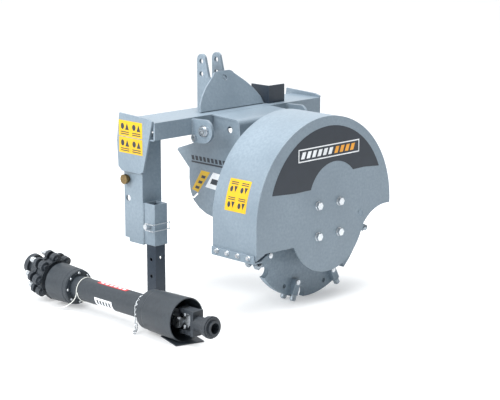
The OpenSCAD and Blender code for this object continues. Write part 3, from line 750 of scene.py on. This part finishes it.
# %% Screws round the guard's far end
SCREW_SUNK = 0.0015
bell_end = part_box("guard_bell")[0][1]
screw_tree, src, out, screw_ids = gn_tree("ring_of_screws", {"Count": 8, "Ring": 0.05, "Head": 0.0045})
around = add(screw_tree, "GeometryNodeCurvePrimitiveCircle", {
    "Resolution": src["Count"], "Radius": src["Ring"]})
stood = add(screw_tree, "GeometryNodeTransform", {
    "Geometry": around.outputs[0], "Rotation": (math.pi / 2, 0, 0)})
places = add(screw_tree, "GeometryNodeCurveToPoints", {"Curve": stood.outputs[0]}, mode="EVALUATED")
head = add(screw_tree, "GeometryNodeMeshCylinder", {"Vertices": 6, "Radius": src["Head"], "Depth": 0.004})
heads = add(screw_tree, "GeometryNodeInstanceOnPoints", {
    "Points": places.outputs["Points"], "Instance": head.outputs["Mesh"],
    "Rotation": (math.pi / 2, 0, 0)})
moved = add(screw_tree, "GeometryNodeTransform", {
    "Geometry": heads.outputs[0], "Translation": (line_x, bell_end - SCREW_SUNK, line_z)})
close_tree(screw_tree, moved.outputs[0], out, zinc)
screws = path_mesh("guard_screws", [[Vector((0, 0, 0))]])
bake_nodes(screws, screw_tree, screw_ids, {"Count": 8}, "driveline")

# %% [markdown]
# A short chain hangs from the guard, to stop it turning with the shaft. Each link is a ring pulled
# long, and every second link is turned a quarter. The tree walks along the chain's path, places a
# link at each pitch and turns it to the path.

# %% The chain's tree
CHAIN_PITCH = 0.0150
chain_tree, src, out, chain_ids = gn_tree("chain", {"Pitch": CHAIN_PITCH, "Link": 0.0062, "Wire": 0.0018})
path = add(chain_tree, "GeometryNodeMeshToCurve", {"Mesh": src["Geometry"]})
steps = add(chain_tree, "GeometryNodeCurveToPoints", {"Curve": path.outputs[0], "Length": src["Pitch"]},
            mode="LENGTH")
ring = add(chain_tree, "GeometryNodeCurvePrimitiveCircle", {"Resolution": 12, "Radius": src["Link"]})
long_ring = add(chain_tree, "GeometryNodeTransform", {
    "Geometry": ring.outputs[0], "Scale": (0.8, 1.7, 1.0)})
rod = add(chain_tree, "GeometryNodeCurvePrimitiveCircle", {"Resolution": 6, "Radius": src["Wire"]})
link = add(chain_tree, "GeometryNodeCurveToMesh", {
    "Curve": long_ring.outputs[0], "Profile Curve": rod.outputs[0]})
upright = add(chain_tree, "GeometryNodeTransform", {
    "Geometry": link.outputs[0], "Rotation": (math.pi / 2, 0, 0)})
index = add(chain_tree, "GeometryNodeInputIndex")
odd = add(chain_tree, "ShaderNodeMath", {0: index.outputs[0], 1: 2.0}, operation="MODULO")
turn = add(chain_tree, "ShaderNodeMath", {0: odd.outputs[0], 1: math.pi / 2}, operation="MULTIPLY")
spin = add(chain_tree, "ShaderNodeCombineXYZ", {"Z": turn.outputs[0]})
aim = add(chain_tree, "FunctionNodeRotateRotation", {"Rotation": steps.outputs["Rotation"]},
          rotation_space="LOCAL")
chain_tree.links.new(spin.outputs[0], aim.inputs[1])
links = add(chain_tree, "GeometryNodeInstanceOnPoints", {
    "Points": steps.outputs["Points"], "Instance": upright.outputs[0], "Rotation": aim.outputs[0]})
close_tree(chain_tree, links.outputs[0], out, zinc)
print("chain tree's nodes:", len(chain_tree.nodes))

# %% [markdown]
# The chain's path starts high on the guard tube, lies over its left side, hangs down and ends along
# the floor. Its points are in mm from the driveline's own line.

# %% Guard chain
CHAIN_Y, CHAIN_OUT = -212, 4
tube_x, tube_z, tube_mm = line_x / MM, line_z / MM, tube_r / MM
floor_mm = FLOOR_Z / MM
left_mm = tube_x - tube_mm
over_r = tube_mm + CHAIN_OUT
chain_path = [Vector((tube_x + over_r * math.cos(math.radians(a)), CHAIN_Y,
                      tube_z + over_r * math.sin(math.radians(a)))) for a in range(60, 181, 12)]
for out_mm, y, z in ((5, -213, tube_z - 30), (6, -215, floor_mm + 16), (13, -221, floor_mm + 9),
                     (28, -230, floor_mm + 8.5)):
    chain_path.append(Vector((left_mm - out_mm, y, z)))
chain = path_mesh("guard_chain", [[p * MM for p in chain_path]])
bake_nodes(chain, chain_tree, chain_ids, {"Pitch": CHAIN_PITCH}, "driveline")

# %% [markdown]
# The floor is a wide pale matt sheet at the machine's lowest point. A little light of its own keeps
# it nearly white, so that it meets the sky without a line.

# %% Floor
bm = bmesh.new()
bmesh.ops.create_grid(bm, x_segments=2, y_segments=2, size=30)
for v in bm.verts:
    v.co.z = FLOOR_Z
mesh = bpy.data.meshes.new("floor")
bm.to_mesh(mesh)
bm.free()
floor = bpy.data.objects.new("floor", mesh)
bpy.context.scene.collection.objects.link(floor)
mat, tree, shader, coords = start_material("pale_floor")
mottle = add(tree, "ShaderNodeTexNoise", {"Vector": coords, "Scale": 1.0})
tone = add(tree, "ShaderNodeValToRGB", {"Fac": mottle.outputs["Fac"]})
tone.color_ramp.elements[0].color = linear("#d9dbdc")
tone.color_ramp.elements[1].color = linear("#dfe0e1")
tree.links.new(tone.outputs["Color"], shader.inputs["Base Color"])
shader.inputs["Roughness"].default_value = 0.9
shader.inputs["Emission Color"].default_value = (1.0, 1.0, 1.0, 1)
shader.inputs["Emission Strength"].default_value = 0.3
mesh.materials.append(mat)
print("floor at z, m:", round(FLOOR_Z, 4))
